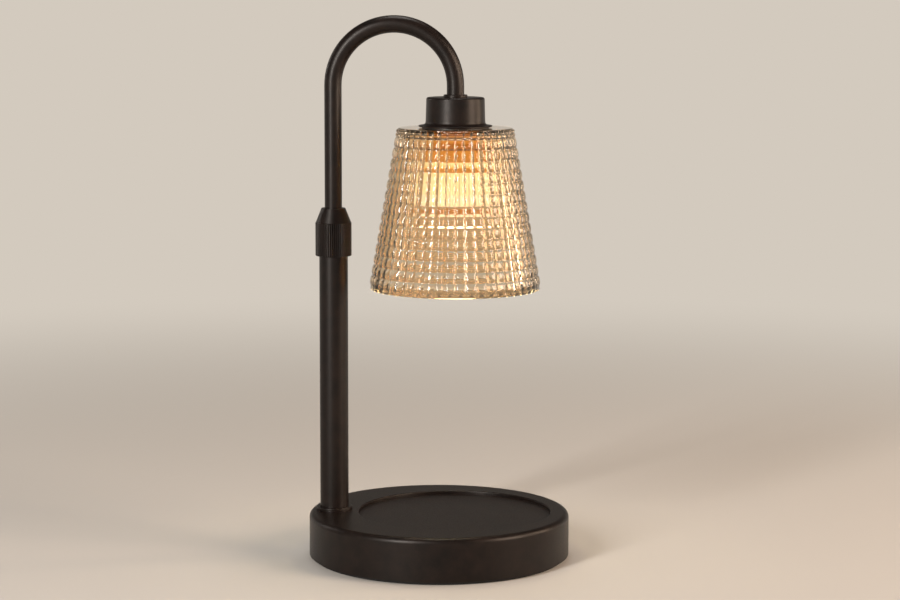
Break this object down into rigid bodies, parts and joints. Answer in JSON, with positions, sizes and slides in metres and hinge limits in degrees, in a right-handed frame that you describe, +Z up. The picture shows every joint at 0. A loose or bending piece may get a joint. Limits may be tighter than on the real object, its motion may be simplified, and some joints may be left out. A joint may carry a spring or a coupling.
{
  "type": "candle warmer lamp",
  "caption": "Candle warmer lamp: round recessed base, telescoping post with a knurled locking collar, hooked arm, and a patterned clear glass shade round a halogen reflector lamp.",
  "frame": {"origin": "middle of the foot pad's underside, on the surface that the lamp stands on", "axes": "+Z up, +X from the post towards the shade, the lamp's front is -Y and the cord's inlet faces +Y"},
  "size_m": [0.15, 0.1515, 0.3113],
  "materials": {
    "black_coat": "matt powder coat",
    "pad_foam": "closed-cell foam",
    "cover_steel": "zinc plated sheet",
    "screw_steel": "zinc plated",
    "ring_steel": "dark plated",
    "cast_weight": "as cast, oiled",
    "grommet_rubber": "matt",
    "block_plastic": "moulded",
    "contact_brass": "turned",
    "terminal_steel": "zinc plated",
    "lead_sleeve": "silicone sheath",
    "nylon": "moulded nylon",
    "holder_ceramic": "unglazed ceramic",
    "washer_silicone": "black silicone",
    "shade_glass": "clear pressed glass",
    "lamp_ceramic": "ceramic",
    "pin_steel": "nickel plated",
    "lamp_glass": "clear moulded glass"
  },
  "bodies": {
    "base": {"base_shell": "black_coat", "foot_pad": "pad_foam", "bottom_plate": "cover_steel", "cover_screws": "screw_steel", "ballast_plate": "cast_weight", "cord_grommet": "grommet_rubber", "terminal_block": "block_plastic", "terminal_inserts": "contact_brass", "terminal_screws": "terminal_steel", "block_screw": "screw_steel", "base_leads": "lead_sleeve", "post_foot_ring": "black_coat", "post_tube": "black_coat", "post_foot_plug": "screw_steel", "post_nipple": "screw_steel", "post_washer": "screw_steel", "post_nut": "screw_steel", "post_ferrule": "screw_steel"},
    "collet": {"collet": "nylon"},
    "collar": {"lock_collar": "black_coat"},
    "carriage": {"guide_bush": "nylon", "slack_leads": "lead_sleeve"},
    "arm": {"bush_clips": "screw_steel", "gooseneck_tube": "black_coat", "neck_ring": "black_coat", "neck_nipple": "screw_steel", "neck_nut": "screw_steel", "socket_cup": "black_coat", "holder_bracket": "cover_steel", "holder_screws": "screw_steel", "lampholder_body": "holder_ceramic", "lampholder_cap": "holder_ceramic", "holder_contacts": "contact_brass", "arm_leads": "lead_sleeve", "shade_gaskets": "washer_silicone", "shade_ring": "ring_steel", "glass_shade": "shade_glass"},
    "bulb": {"bulb_base": "lamp_ceramic", "bulb_pins": "pin_steel", "bulb_reflector": "lamp_glass", "bulb_lens": "lamp_glass", "bulb_capsule": "lamp_glass"}
  },
  "joints": [
    {"name": "collet_rise", "type": "slide", "parent": "base", "child": "collet", "axis": [0, 0, 1], "range_m": [0, 0.001]},
    {"name": "collar_turn", "type": "hinge", "parent": "collet", "child": "collar", "pos_m": [-0.0609, 0, 0.184], "axis": [0, 0, 1], "range_deg": [0, 360]},
    {"name": "arm_height", "type": "slide", "parent": "base", "child": "carriage", "axis": [0, 0, 1], "range_m": [-0.06, 0.04], "deforming": ["slack_leads"]},
    {"name": "arm_swivel", "type": "hinge", "parent": "carriage", "child": "arm", "pos_m": [-0.0609, 0, 0.15], "axis": [0, 0, 1], "range_deg": [-170, 170]},
    {"name": "bulb_twist", "type": "hinge", "parent": "arm", "child": "bulb", "pos_m": [0.0089, 0, 0.23], "axis": [0, 0, 1], "range_deg": [-25, 0]}
  ],
  "couplings": [
    {"joint": "collar_turn", "follows": "collet_rise", "rad_per_m": 6283}
  ]
}
